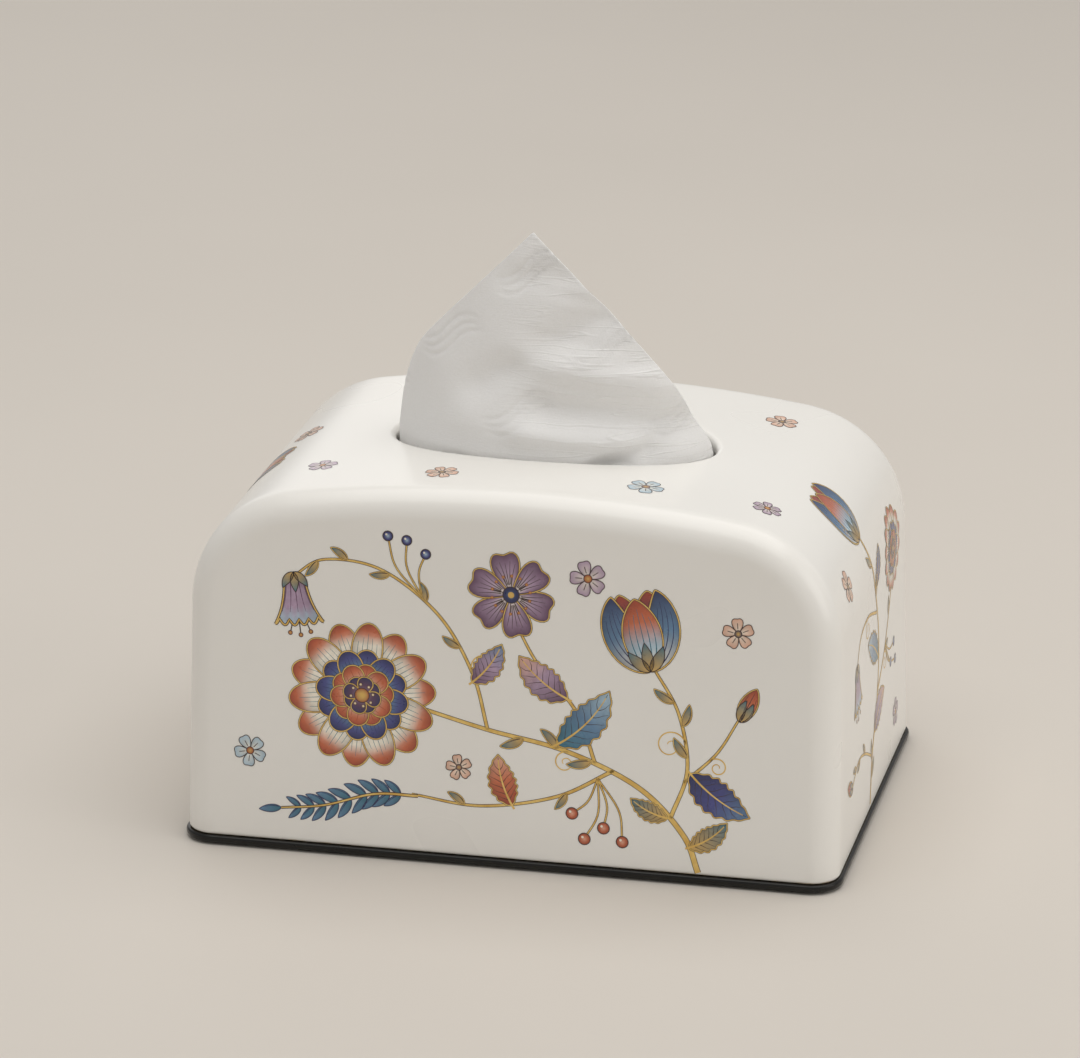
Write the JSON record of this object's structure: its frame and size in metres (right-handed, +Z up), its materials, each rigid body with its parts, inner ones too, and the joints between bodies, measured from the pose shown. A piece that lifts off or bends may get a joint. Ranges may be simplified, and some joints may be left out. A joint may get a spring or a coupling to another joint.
{
  "type": "tissue box cover",
  "caption": "Loaf-shaped glazed ceramic tissue box cover with an oval slot in its crowned top, standing on a thin black base with rubber feet, with a tissue drawn up through the slot.",
  "frame": {"origin": "on the table, under the middle of the base", "axes": "+Z up, +X along the long side, -Y towards the front face with the main printed flowers"},
  "size_m": [0.21, 0.148, 0.19],
  "materials": {
    "cover_glaze": "glossy ivory-white glaze with a printed floral decoration",
    "base_black": "glossy black",
    "foot_rubber": "matte dark grey",
    "tissue_paper": "soft white embossed tissue"
  },
  "bodies": {
    "base": {"base_plate": "base_black", "foot_front_left": "foot_rubber", "foot_front_right": "foot_rubber", "foot_back_left": "foot_rubber", "foot_back_right": "foot_rubber", "tissue_stack": "tissue_paper", "next_tissue": "tissue_paper"},
    "cover": {"cover_shell": "cover_glaze"},
    "tissue": {"raised_tissue": "tissue_paper"}
  },
  "joints": [
    {"name": "cover_lift", "type": "slide", "parent": "base", "child": "cover", "axis": [0, 0, 1], "range_m": [0, 0.2]},
    {"name": "tissue_pull", "type": "slide", "parent": "base", "child": "tissue", "axis": [0, 0, 1], "range_m": [0, 0.12]}
  ]
}
